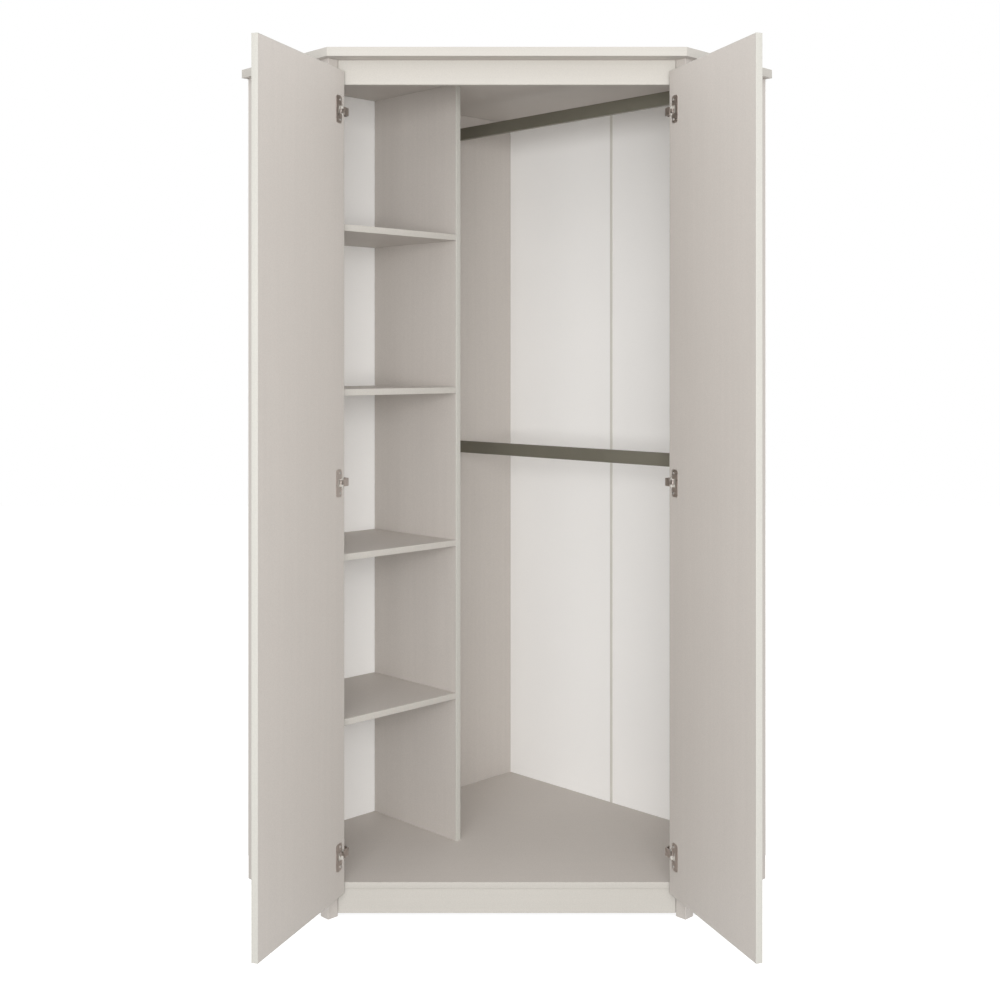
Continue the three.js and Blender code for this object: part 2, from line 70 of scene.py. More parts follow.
Point = tuple[float, float]
Span = tuple[float, float]
Triple = tuple[float, float, float]
Colour = tuple[float, float, float, float]
Shares = tuple[float, ...]
Names = tuple[str, ...]
Socket = bpy.types.NodeSocket
Shape = tuple[bmesh.types.BMesh, Matrix]


def shade(red: int, green: int, blue: int) -> Colour:
    """Linear colour for a shader from its display values of 0 to 255, with full opacity."""
    knee, slope, lift, power = 0.04045, 12.92, 0.055, 2.4
    values = [value / 255 for value in (red, green, blue)]
    linear = [v / slope if v <= knee else ((v + lift) / (1 + lift)) ** power for v in values]
    return (linear[0], linear[1], linear[2], 1.0)


def toned(colour: Colour, factor: float) -> Colour:
    """The same hue, lighter or darker by a factor."""
    return (colour[0] * factor, colour[1] * factor, colour[2] * factor, 1.0)


class Side(Enum):
    """Which door, and the sign of its X."""

    LEFT = -1
    RIGHT = 1

    @property
    def label(self) -> str:
        """The word that the frame's names use for this side."""
        return self.name.lower()


class Grain(Enum):
    """Which way a board's faint grain runs: a turn about Z in degrees and stretches along the turned axes."""

    UPRIGHT = (0.0, (1.0, 1.0, 40.0))
    ACROSS_FRONT = (0.0, (40.0, 1.0, 1.0))
    ALONG_LEFT_WALL = (45.0, (40.0, 1.0, 1.0))


@dataclass(frozen=True)
class Pattern:
    """A noise pattern: its features per metre, its finer layers and how rough they are."""

    scale: float
    detail: float
    roughness: float = 0.55


@dataclass
class NodeSketch:
    """A material's, world's or modifier's node tree while it is being drawn."""

    tree: bpy.types.NodeTree

    def node(self, kind: str, inputs: dict[Any, Any] | None = None, **settings: Any) -> bpy.types.Node:
        """Adds a node.

        Args:
            kind: the node's type name.
            inputs: values or other nodes' sockets, by the input's name or number.
            settings: the node's own settings.

        Returns:
            The new node.
        """
        made = self.tree.nodes.new(kind)
        for key, value in settings.items():
            setattr(made, key, value)
        for key, value in (inputs or {}).items():
            if isinstance(value, Socket):
                self.tree.links.new(value, made.inputs[key])
            else:
                made.inputs[key].default_value = value
        return made

    def maths(self, operation: str, *values: Any) -> Socket:
        """A value worked out from numbers or other nodes' sockets."""
        return self.node("ShaderNodeMath", dict(enumerate(values)), operation=operation).outputs["Value"]

    def noise(self, place: Socket, pattern: Pattern) -> Socket:
        """A noise pattern's value at a place."""
        values = {"Scale": pattern.scale, "Detail": pattern.detail, "Roughness": pattern.roughness}
        return self.node("ShaderNodeTexNoise", {"Vector": place, **values}).outputs["Fac"]

    def spread(self, value: Socket, limits: Span = (0.0, 1.0), reach: float = 0.2) -> Socket:
        """A pattern, which strays by a reach to either side of a half, spread between two limits."""
        ends = {"From Min": 0.5 - reach, "From Max": 0.5 + reach, "To Min": limits[0], "To Max": limits[1]}
        return self.node("ShaderNodeMapRange", {"Value": value, **ends}).outputs["Result"]

    def blend(self, patterns: tuple[Socket, ...], shares: Shares) -> Socket:
        """Patterns added up, each times its share."""
        total: Any = 0.0
        for value, share in zip(patterns, shares, strict=True):
            total = self.maths("MULTIPLY_ADD", value, share, total)
        return total

    def mixed(self, factor: Socket, first: Any, second: Any) -> Socket:
        """Two colours mixed by a factor."""
        values = {0: factor, MIX_FIRST: first, MIX_SECOND: second}
        return self.node("ShaderNodeMix", values, data_type="RGBA").outputs[MIX_RESULT]

    def tinted(self, tone: Socket, colour: Colour, tones: Span) -> Socket:
        """A colour between its darkest and its lightest tone."""
        return self.mixed(tone, toned(colour, tones[0]), toned(colour, tones[1]))

    def own_space(self, turn: float = 0.0, stretch: Triple = (1.0, 1.0, 1.0)) -> Socket:
        """The piece's own coordinates, turned about Z by degrees and stretched."""
        place = self.node("ShaderNodeTexCoord").outputs["Object"]
        values = {"Vector": place, "Rotation": (0, 0, math.radians(turn)), "Scale": stretch}
        return self.node("ShaderNodeMapping", values, vector_type="TEXTURE").outputs["Vector"]


def fresh_sketch(owner: bpy.types.Material | bpy.types.World) -> NodeSketch:
    """The emptied node tree of a material or world, ready to draw."""
    owner.use_nodes = True
    owner.node_tree.nodes.clear()
    return NodeSketch(owner.node_tree)


@dataclass(frozen=True)
class Finish:
    """A finish: its material's name, its colour and the frame's slot that it belongs to.

    Its tones are the darkest and lightest shares of the colour. Patterns bring them in by the tone's shares,
    and together stray by the tone's reach from a half.
    """

    name: str
    colour: Colour
    slot: str = ""
    tones: Span = (1.0, 1.0)
    tone_shares: Shares = (0.4, 0.6)
    tone_reach: float = 0.15
    roughness: Span = (0.5, 0.6)
    relief: float = 0.18
    depth: float = 0.0003
    metallic: float = 0.0
    specular: float = 0.5

    def material(self) -> bpy.types.Material:
        """Makes the finish as a material."""
        made = bpy.data.materials.new(self.name)
        sketch = fresh_sketch(made)
        surface = self.draw(sketch)
        sketch.node("ShaderNodeOutputMaterial", {"Surface": surface})
        made.diffuse_color = self.colour
        return made

    def draw(self, sketch: NodeSketch) -> Socket:
        """Draws the finish's nodes and returns its surface."""
        raise NotImplementedError

    def tint(self, sketch: NodeSketch, *patterns: Socket) -> Socket:
        """The colour, toned by patterns in their shares."""
        tone = sketch.spread(sketch.blend(patterns, self.tone_shares), reach=self.tone_reach)
        return sketch.tinted(tone, self.colour, self.tones)

    def surface(self, sketch: NodeSketch, colour: Socket, wear: Socket, height: Socket) -> Socket:
        """The surface from its colour and the patterns of its wear and its relief."""
        relief = {"Height": height, "Strength": self.relief, "Distance": self.depth}
        values = {
            "Base Color": colour,
            "Metallic": self.metallic,
            "Roughness": sketch.spread(wear, self.roughness),
            "Normal": sketch.node("ShaderNodeBump", relief).outputs["Normal"],
            "Specular IOR Level": self.specular,
        }
        return sketch.node("ShaderNodeBsdfPrincipled", values).outputs["BSDF"]


@dataclass(frozen=True)
class CoatedBoard(Finish):
    """Matt melamine coating with a faint grain, a fine pearl texture and a soft mottle."""

    slot: str = "painted_board"
    tones: Span = (0.955, 1.045)
    tone_shares: Shares = (0.225, 0.65, 0.125)
    tone_reach: float = 0.125
    specular: float = 0.35
    grain: Grain = Grain.UPRIGHT
    streaks: Pattern = Pattern(70, 5)
    pearl: Pattern = Pattern(360, 3)
    mottle: Pattern = Pattern(2.6, 2)
    height_shares: Shares = (0.5, 1.0)

    def draw(self, sketch: NodeSketch) -> Socket:
        """Draws the coating's nodes and returns its surface."""
        streaks = sketch.noise(sketch.own_space(*self.grain.value), self.streaks)
        plain = sketch.own_space()
        pearl = sketch.noise(plain, self.pearl)
        mottle = sketch.noise(plain, self.mottle)
        height = sketch.blend((streaks, pearl), self.height_shares)
        return self.surface(sketch, self.tint(sketch, streaks, pearl, mottle), streaks, height)


@dataclass(frozen=True)
class EdgeBand(CoatedBoard):
    """Edge band: the boards' coating on a smoother strip."""

    roughness: Span = (0.42, 0.52)
    relief: float = 0.1


@dataclass(frozen=True)
class Hardboard(Finish):
    """Thin hardboard: a white coat on the face into the room, raw fibre on its edges and its rear face."""

    slot: str = "white_sheet"
    tones: Span = (0.986, 1.034)
    roughness: Span = (0.5, 0.66)
    relief: float = 0.16
    specular: float = 0.35
    raw: Colour = shade(176, 152, 124)
    raw_tones: Span = (0.72, 1.22)
    mottle: Pattern = Pattern(3.2, 3)
    peel: Pattern = Pattern(420, 2)
    fibre: Pattern = Pattern(900, 6)
    fibre_stretch: Triple = (1.0, 1.0, 2.5)
    height_shares: Shares = (0.4, 1.0)
    room_limit: float = -0.35

    def draw(self, sketch: NodeSketch) -> Socket:
        """Draws the sheet's nodes and returns its surface."""
        plain = sketch.own_space()
        mottle = sketch.noise(plain, self.mottle)
        peel = sketch.noise(plain, self.peel)
        fibre = sketch.noise(sketch.own_space(stretch=self.fibre_stretch), self.fibre)
        coat = self.tint(sketch, mottle, peel)
        rear = sketch.tinted(sketch.spread(fibre), self.raw, self.raw_tones)
        normal = sketch.node("ShaderNodeTexCoord").outputs["Normal"]
        facing = sketch.node("ShaderNodeSeparateXYZ", {"Vector": normal}).outputs["Y"]
        into_room = sketch.maths("LESS_THAN", facing, self.room_limit)
        height = sketch.blend((fibre, peel), self.height_shares)
        return self.surface(sketch, sketch.mixed(into_room, rear, coat), fibre, height)


@dataclass(frozen=True)
class RailPaint(Finish):
    """Satin paint on steel tube, with fine flakes in it."""

    slot: str = "bronze_metal"
    tones: Span = (0.93, 1.12)
    roughness: Span = (0.36, 0.46)
    relief: float = 0.08
    depth: float = 0.0002
    metallic: float = 0.35
    cloud: Pattern = Pattern(9, 4)
    flakes: Pattern = Pattern(1500, 2)
    height_shares: Shares = (0.5, 1.0)

    def draw(self, sketch: NodeSketch) -> Socket:
        """Draws the paint's nodes and returns its surface."""
        plain = sketch.own_space()
        cloud, flakes = sketch.noise(plain, self.cloud), sketch.noise(plain, self.flakes)
        height = sketch.blend((cloud, flakes), self.height_shares)
        return self.surface(sketch, self.tint(sketch, cloud, flakes), cloud, height)


@dataclass(frozen=True)
class PlatedSteel(Finish):
    """Plated steel, from satin to bright, with brushing and faint marks of use."""

    slot: str = "nickel_metal"
    tones: Span = (0.88, 1.08)
    roughness: Span = (0.26, 0.42)
    relief: float = 0.12
    depth: float = 0.0001
    metallic: float = 1.0
    brushing: Pattern = Pattern(1400, 3)
    brushing_stretch: Triple = (1.0, 1.0, 14.0)
    marks: Pattern = Pattern(130, 4)

    def draw(self, sketch: NodeSketch) -> Socket:
        """Draws the plating's nodes and returns its surface."""
        brushing = sketch.noise(sketch.own_space(stretch=self.brushing_stretch), self.brushing)
        marks = sketch.noise(sketch.own_space(), self.marks)
        return self.surface(sketch, self.tint(sketch, brushing, marks), marks, brushing)


@dataclass(frozen=True)
class MouldedPlastic(Finish):
    """Pale moulded plastic with a fine spark-eroded texture."""

    slot: str = "pale_plastic"
    tones: Span = (0.97, 1.02)
    tone_shares: Shares = (1.0,)
    tone_reach: float = 0.2
    roughness: Span = (0.42, 0.56)
    relief: float = 0.14
    depth: float = 0.0002
    texture: Pattern = Pattern(1100, 3)
    flow: Pattern = Pattern(22, 2)

    def draw(self, sketch: NodeSketch) -> Socket:
        """Draws the plastic's nodes and returns its surface."""
        plain = sketch.own_space()
        texture, flow = sketch.noise(plain, self.texture), sketch.noise(plain, self.flow)
        return self.surface(sketch, self.tint(sketch, flow), texture, texture)


# Painted light and shade: the board colour is a little pinker, for the warm shade inside, and the plinth and
# pelmet, which take direct light, get a darker, more neutral lit copy of it.
BOARD_COLOUR = shade(198, 192, 186)
LIT_FRONT_COLOUR = shade(193, 189, 182)
BAND_COLOUR = shade(193, 191, 184)
# Painted shade: the bands of the level edges, on the shelves, the top board and the floor board, get a
# slightly darker, warmer copy of the band colour.
SHADED_LEVEL_BAND_COLOUR = shade(191, 187, 180)
BOARD_UPRIGHT = CoatedBoard("coated_board_upright", BOARD_COLOUR)
BOARD_ACROSS = CoatedBoard("coated_board_across", BOARD_COLOUR, grain=Grain.ACROSS_FRONT)
LIT_FRONT_ACROSS = CoatedBoard("coated_board_front", LIT_FRONT_COLOUR, grain=Grain.ACROSS_FRONT)
BOARD_LEFT = CoatedBoard("coated_board_left", BOARD_COLOUR, grain=Grain.ALONG_LEFT_WALL)
BAND_UPRIGHT = EdgeBand("edge_band_upright", BAND_COLOUR)
BAND_ACROSS = EdgeBand("edge_band_across", SHADED_LEVEL_BAND_COLOUR, grain=Grain.ACROSS_FRONT)
BAND_LEFT = EdgeBand("edge_band_left", SHADED_LEVEL_BAND_COLOUR, grain=Grain.ALONG_LEFT_WALL)
WHITE_SHEET = Hardboard("white_hardboard", shade(250, 249, 247))
OLIVE_PAINT = RailPaint("olive_bronze_paint", shade(119, 116, 104))
SATIN_NICKEL = PlatedSteel("satin_nickel", shade(194, 184, 178))
BRIGHT_ZINC = PlatedSteel("bright_zinc", shade(205, 205, 202), roughness=(0.2, 0.34))
PALE_PLASTIC = MouldedPlastic("pale_plastic", shade(217, 214, 207))


def arc(radius: float, start: float, end: float, steps: int) -> list[Point]:
    """Points along an arc about the origin, between two angles."""
    turns = [start + (end - start) * step / steps for step in range(steps + 1)]
    return [(radius * math.cos(turn), radius * math.sin(turn)) for turn in turns]


def circle(radius: float, sides: int) -> list[Point]:
    """Points round a circle."""
    return arc(radius, 0.0, 2 * math.pi, sides)[:-1]


def rounded(width: float, height: float, radius: float, steps: int) -> list[Point]:
    """Rectangle with round corners, centred, counter-clockwise.

    Args:
        width: size along X.
        height: size along Y.
        radius: corner radius.
        steps: chords in each corner.

    Returns:
        The outline's points.
    """
    points = []
    for quarter, (x, y) in enumerate([(1, 1), (-1, 1), (-1, -1), (1, -1)]):
        across, up = x * (width / 2 - radius), y * (height / 2 - radius)
        start = quarter * math.pi / 2
        points += [(across + dx, up + dy) for dx, dy in arc(radius, start, start + math.pi / 2, steps)]
    return points


def smooth_line(points: list[Point], steps: int) -> list[Point]:
    """A smooth cubic line through the given points.

    Args:
        points: the points to pass through.
        steps: chords between neighbours.

    Returns:
        The line's points.
    """
    ends = [points[0], *points, points[-1]]
    line = []
    for index in range(1, len(ends) - 2):
        before, start, end, after = (Vector(point) for point in ends[index - 1 : index + 3])
        for step in range(steps):
            t = step / steps
            bend = 2 * start + (end - before) * t + (2 * before - 5 * start + 4 * end - after) * t**2
            bend += (3 * start - before - 3 * end + after) * t**3
            line.append(tuple(bend / 2))
    line.append(points[-1])
    return line


def join_rings(skin: bmesh.types.BMesh, low: list[Any], high: list[Any]) -> None:
    """Joins two rings of as many vertices with a strip of faces."""
    for index in range(len(low)):
        after = (index + 1) % len(low)
        skin.faces.new((low[index], low[after], high[after], high[index]))


def loft(rings: list[tuple[list[Point], float]], wrap: bool = False) -> bmesh.types.BMesh:
    """Closed skin over outlines at their heights.

    Args:
        rings: outlines with equal numbers of points, each with its height along Z.
        wrap: joins the last outline to the first one and leaves out the end caps.

    Returns:
        The mesh.
    """
    skin = bmesh.new()
    rows = [[skin.verts.new((x, y, height)) for x, y in outline] for outline, height in rings]
    pairs = list(zip(rows, rows[1:]))
    if wrap:
        pairs.append((rows[-1], rows[0]))
    else:
        skin.faces.new(rows[0])
        skin.faces.new(rows[-1])
    for low, high in pairs:
        join_rings(skin, low, high)
    bmesh.ops.recalc_face_normals(skin, faces=skin.faces)
    return skin


def turned(profile: list[Point], sides: int = 48) -> bmesh.types.BMesh:
    """Turned form about Z from pairs of radius and height."""
    return loft([(circle(radius, sides), height) for radius, height in profile])


@dataclass(frozen=True)
class ScrewHead:
    """Domed screw head with a cross recess, seated at height 0.

    The recess's reach and half width and the crown are shares of the radius, its depth, the brim's height and
    the dome's fall are shares of the rise, and its taper is its floor's share of its mouth.
    """

    radius: float
    rise: float
    slot_reach: float = 0.6
    slot_half: float = 0.15
    slot_taper: float = 0.6
    slot_depth: float = 0.9
    edge_rise: float = 0.3
    crown: float = 0.93
    fall: float = 0.55
    sides: int = 24

    def dome(self, point: Vector) -> float:
        """Height of the dome over a point."""
        return self.rise * (1 - self.fall * (point.length / self.radius) ** 2)

    def cross(self) -> list[Vector]:
        """Outline of the cross recess, counter-clockwise."""
        reach, half = self.radius * self.slot_reach, self.radius * self.slot_half
        quarter = [(reach, -half), (reach, half), (half, half)]
        turns = [Matrix.Rotation(math.radians(90 * step), 2) for step in range(4)]
        return [turn @ Vector(point) for turn in turns for point in quarter]

    def mesh(self) -> bmesh.types.BMesh:
        """Makes the head."""
        head = bmesh.new()
        brim = [Vector(point) for point in circle(self.radius, self.sides)]
        cross, taper = self.cross(), self.slot_taper
        depth = self.rise * self.slot_depth
        foot = [head.verts.new((p.x, p.y, 0)) for p in brim]
        edge = [head.verts.new((p.x, p.y, self.rise * self.edge_rise)) for p in brim]
        inner = [self.crown * p for p in brim]
        crown = [head.verts.new((p.x, p.y, self.dome(p))) for p in inner]
        mouth = [head.verts.new((p.x, p.y, self.dome(p))) for p in cross]
        pit = [head.verts.new((taper * p.x, taper * p.y, self.dome(p) - depth)) for p in cross]
        for low, high in ((foot, edge), (edge, crown), (pit, mouth)):
            join_rings(head, low, high)
        head.faces.new(foot)
        head.faces.new(pit)
        loops = [line for ring in (crown, mouth) for line in zip(ring, ring[1:] + ring[:1])]
        rims = [head.edges.get(pair) for pair in loops]
        bmesh.ops.triangle_fill(head, use_beauty=True, edges=rims, normal=UP)
        bmesh.ops.recalc_face_normals(head, faces=head.faces)
        return head


def seat(origin: Vector, normal: Vector, along: Vector) -> Matrix:
    """Place whose Z is a surface's normal and whose X runs as near as can be along a direction."""
    z = normal.normalized()
    x = (along - along.dot(z) * z).normalized()
    turn = Matrix((x, z.cross(x), z)).transposed()
    return Matrix.Translation(origin) @ turn.to_4x4()


def middle_height(node: str) -> float:
    """Height of the middle of one of the frame's nodes."""
    low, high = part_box(node)
    return (low.z + high.z) / 2


def placed(name: str, data: bpy.types.ID) -> bpy.types.Object:
    """A mesh, lamp or camera as a new object in the scene."""
    made = bpy.data.objects.new(name, data)
    bpy.context.scene.collection.objects.link(made)
    return made


@dataclass
class Workshop:
    """Makes pieces, gives them their finish and hangs them on the frame's bodies."""

    materials: dict[str, bpy.types.Material] = field(default_factory=dict)
    shading: bpy.types.NodeTree | None = None

    def coat(self, piece: bpy.types.Object, finish: Finish) -> None:
        """Gives a piece its one finish."""
        if finish.name not in self.materials:
            self.materials[finish.name] = finish.material()
        piece.data.materials.clear()
        piece.data.materials.append(self.materials[finish.name])

    def piece(self, name: str, shapes: list[Shape], finish: Finish, body: str = "root") -> bpy.types.Object:
        """Makes one piece from placed shapes.

        Args:
            name: the piece's name.
            shapes: meshes, each with its place.
            finish: its finish.
            body: the frame's body that it rides on.

        Returns:
            The new object.
        """
        joined = bmesh.new()
        for shape, place in shapes:
            shape.transform(place)
            if place.determinant() < 0:
                bmesh.ops.reverse_faces(shape, faces=shape.faces)
            part = bpy.data.meshes.new("part")
            shape.to_mesh(part)
            shape.free()
            joined.from_mesh(part)
            bpy.data.meshes.remove(part)
        for face in joined.faces:
            face.smooth = True
        mesh = bpy.data.meshes.new(name)
        joined.to_mesh(mesh)
        joined.free()
        mesh.set_sharp_from_angle(angle=SMOOTH_ANGLE)
        made = placed(name, mesh)
        self.coat(made, finish)
        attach(made, body)
        log.info("%s made, in %s, on %s", name, finish.name, body)
        return made

    def dress(self, node: str, finish: Finish, arris: float) -> None:
        """Gives a node of the frame its finish and rounds its sharp edges.

        Args:
            node: the node's name.
            finish: its finish.
            arris: radius of the rounded edges.
        """
        board = frame["nodes"][node]
        self.coat(board, finish)
        weld = board.modifiers.new("weld", "WELD")
        weld.merge_threshold = WELD_REACH
        rounding = board.modifiers.new("rounded_edges", "BEVEL")
        rounding.width = arris
        rounding.segments = ARRIS_STEPS
        rounding.limit_method = "ANGLE"
        rounding.angle_limit = SMOOTH_ANGLE
        rounding.use_clamp_overlap = True
        if self.shading is None:
            self.shading = self.shading_group()
        board.modifiers.new("shading", "NODES").node_group = self.shading
        board.modifiers.new("weighted_normals", "WEIGHTED_NORMAL").keep_sharp = True
        log.info("%s dressed in %s", node, finish.name)

    def shading_group(self) -> bpy.types.NodeTree:
        """Draws the modifier that makes faces smooth and keeps steep edges sharp."""
        tree = bpy.data.node_groups.new("edge_shading", "GeometryNodeTree")
        for way in ("INPUT", "OUTPUT"):
            tree.interface.new_socket("Geometry", in_out=way, socket_type="NodeSocketGeometry")
        sketch = NodeSketch(tree)
        angle = sketch.node("GeometryNodeInputMeshEdgeAngle").outputs["Unsigned Angle"]
        values = {
            "Mesh": sketch.node("NodeGroupInput").outputs["Geometry"],
            "Remove Custom": True,
            "Edge Sharpness": sketch.maths("GREATER_THAN", angle, STEEP_ANGLE),
            "Face Sharpness": False,
        }
        shaded = sketch.node("GeometryNodeSetMeshNormal", values, mode="SHARPNESS")
        sketch.node("NodeGroupOutput", {"Geometry": shaded.outputs["Mesh"]})
        return tree


@dataclass(frozen=True)
class Plan:
    """Five-sided plan, in distances along the two walls from the back corner."""

    back_corner: float
    slope: float = math.sqrt(0.5)
    wall_leg: float = 0.950
    return_depth: float = 0.338
    board: float = 0.016
    post_side: float = 0.030
    divider_far: float = 0.5283
    seam: float = 0.0003

    def point(self, left: float, right: float, height: float) -> Vector:
        """Point at distances along the left and right walls, at a height."""
        return Vector(((right - left) * self.slope, self.back_corner - (left + right) * self.slope, height))

    def along_left(self) -> Vector:
        """Direction along the left wall, away from the back corner."""
        return Vector((-self.slope, -self.slope, 0))

    def along_right(self) -> Vector:
        """Direction along the right wall, away from the back corner."""
        return Vector((self.slope, -self.slope, 0))

    def distances(self, spot: Vector) -> tuple[float, float]:
        """Distances of a point along the left and right walls."""
        depth = self.back_corner - spot.y
        return (depth - spot.x) * self.slope, (depth + spot.x) * self.slope


@dataclass
class EdgeBands:
    """Edge bands of the boards, each a strip with rounded arrises glued over the board's edge."""

    shop: Workshop
    depth: float = 0.0015
    proud: float = 0.00012
    overlap: float = 0.00006
    arris: float = 0.0008
    arris_steps: int = 4

    def section(self, width: float) -> list[Point]:
        """Section of a band for a board's thickness: X runs out of the board's edge and Y across it."""
        half = (width + self.overlap) / 2
        out, across = self.proud - self.arris, half - self.arris
        corner = [(out + dx, across + dy) for dx, dy in arc(self.arris, 0.0, math.pi / 2, self.arris_steps)]
        below = [(x, -y) for x, y in reversed(corner)]
        return [(-self.depth, half), (-self.depth, -half), *below, *corner]

    def strip(
        self, name: str, ends: tuple[Vector, Vector], outward: Vector, width: float, finish: Finish,
        body: str = "root", place: Matrix | None = None,
    ) -> None:
        """Makes one band.

        Args:
            name: the piece's name.
            ends: the band's ends, in the middle of the board's edge.
            outward: the way that the edge faces.
            width: the board's thickness.
            finish: the band's finish.
            body: the frame's body that it rides on.
            place: the place of the ends' own axes, where they aren't the frame's.
        """
        start, end = ends
        section = self.section(width)
        shape = loft([(section, 0.0), (section, (end - start).length)])
        own = seat(start, end - start, outward)
        self.shop.piece(name, [(shape, (place or Matrix()) @ own)], finish, body)


@dataclass
class Carcass:
    """Boards that stand still: top, floor, plinth, pelmet, posts, panels, shelves, and their edge bands."""

    shop: Workshop
    plan: Plan
    bands: EdgeBands
    arris: float = 0.0006
    front_arris: float = 0.0012
    top_side: float = 0.967
    top_front: float = 0.35494
    top_back: float = -0.005
    half_front: float = 0.41124
    posts: Names = ("left_post", "right_post")
    panels: Names = ("left_side_panel", "right_side_panel", "left_back_panel", "divider")
    across: Names = ("top_board", "floor_board")
    fronts: Names = ("plinth", "pelmet")
    shelves: Names = ("shelf_1", "shelf_2", "shelf_3", "shelf_4")

    def build(self) -> None:
        """Dresses the boards and bands the edges that show."""
        for names, finish, arris in (
            (self.posts + self.panels, BOARD_UPRIGHT, self.arris),
            (self.across, BOARD_ACROSS, self.arris),
            # plinth and pelmet in the lit copy of the board colour: painted light
            (self.fronts, LIT_FRONT_ACROSS, self.front_arris),
            (self.shelves, BOARD_LEFT, self.arris),
        ):
            for name in names:
                self.shop.dress(name, finish, arris)
        self.band_top()
        self.band_floor()
        self.band_shelves()
        self.band_divider()

    def band_top(self) -> None:
        """Bands the top board's front edge and its two short edges."""
        height = middle_height("top_board")
        low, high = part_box("top_board")
        width = high.z - low.z
        plan = self.plan
        back = plan.point(self.top_side, self.top_back, height)
        front = plan.point(self.top_side, self.top_front, height)
        self.bands.strip("top_board_left_band", (back, front), plan.along_left(), width, BAND_LEFT)
        right_ends = (MIRROR @ back, MIRROR @ front)
        self.bands.strip("top_board_right_band", right_ends, plan.along_right(), width, BAND_LEFT)
        self.bands.strip("top_board_front_band", (front, MIRROR @ front), FRONT, width, BAND_ACROSS)

    def band_floor(self) -> None:
        """Bands the floor board's front edge."""
        low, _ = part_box("floor_board")
        end = Vector((self.half_front, low.y, middle_height("floor_board")))
        self.bands.strip("floor_board_band", (MIRROR @ end, end), FRONT, self.plan.board, BAND_ACROSS)

    def band_shelves(self) -> None:
        """Bands the front edge of each shelf."""
        plan = self.plan
        near = plan.divider_far + plan.seam
        far = plan.wall_leg - plan.post_side - plan.seam
        for shelf in self.shelves:
            height = middle_height(shelf)
            ends = (plan.point(near, plan.return_depth, height), plan.point(far, plan.return_depth, height))
            self.bands.strip(f"{shelf}_band", ends, plan.along_right(), plan.board, BAND_LEFT)

    def band_divider(self) -> None:
        """Bands the divider's front edge."""
        low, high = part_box("divider")
        middle = self.plan.divider_far - self.plan.board / 2
        ends = tuple(self.plan.point(middle, self.plan.return_depth, height) for height in (low.z, high.z))
        self.bands.strip("divider_band", ends, self.plan.along_right(), self.plan.board, BAND_UPRIGHT)


@dataclass(frozen=True)
class BackSheet:
    """One back sheet: its node, its wall, its ends from the back corner and which end has a board to nail."""

    node: str
    on_left: bool
    start: float
    end: float
    nailed_at_end: bool


@dataclass
class Backs:
    """Thin back sheets, white inside, the strip that joins two of them, and the nails that hold them."""

    shop: Workshop
    plan: Plan
    thickness: float = 0.003
    arris: float = 0.0002
    nail_radius: float = 0.0022
    nail_rise: float = 0.0005
    nail_shares: tuple[Point, ...] = ((1.0, 0.0), (1.0, 0.6), (0.8, 1.0), (0.3, 1.1))
    nail_sides: int = 14
    nail_pitch: float = 0.165
    inset: float = 0.008
    sheets: tuple[BackSheet, ...] = (
        BackSheet("left_back_sheet", True, 0.5126, 0.950, True),
        BackSheet("right_back_sheet_inner", False, 0.0, 0.4242, False),
        BackSheet("right_back_sheet_outer", False, 0.4258, 0.950, True),
    )

    def build(self) -> None:
        """Dresses the sheets and the strip, and drives the nails."""
        for sheet in self.sheets:
            self.shop.dress(sheet.node, WHITE_SHEET, self.arris)
            self.nail(sheet)
        self.shop.dress("back_joint_strip", PALE_PLASTIC, self.arris)

    def pitched(self, low: float, high: float) -> list[float]:
        """Places of a row of nails between a sheet's edges."""
        count = math.ceil((high - low) / self.nail_pitch)
        return [low + self.inset + (high - low - 2 * self.inset) * n / count for n in range(count + 1)]

    def nail(self, sheet: BackSheet) -> None:
        """Nails one sheet along its bottom and the edges with a board under them."""
        low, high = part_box(sheet.node)
        heights = self.pitched(low.z, high.z)
        reaches = self.pitched(sheet.start, sheet.end)
        beside = sheet.end - self.inset if sheet.nailed_at_end else sheet.start + self.inset
        places = [(beside, height) for height in heights]
        places += [(reach, heights[0]) for reach in reaches if reach != beside]
        if sheet.on_left:
            places += [(sheet.start + self.inset, height) for height in heights[1:]]
        rear = -self.plan.seam - self.thickness
        outward = self.plan.along_right() if sheet.on_left else self.plan.along_left()
        profile = [(r * self.nail_radius, h * self.nail_rise) for r, h in self.nail_shares]
        heads = []
        for reach, height in places:
            across = (reach, rear) if sheet.on_left else (rear, reach)
            spot = self.plan.point(*across, height)
            heads.append((turned(profile, self.nail_sides), seat(spot, -outward, UP)))
        self.shop.piece(f"{sheet.node}_nails", heads, BRIGHT_ZINC)


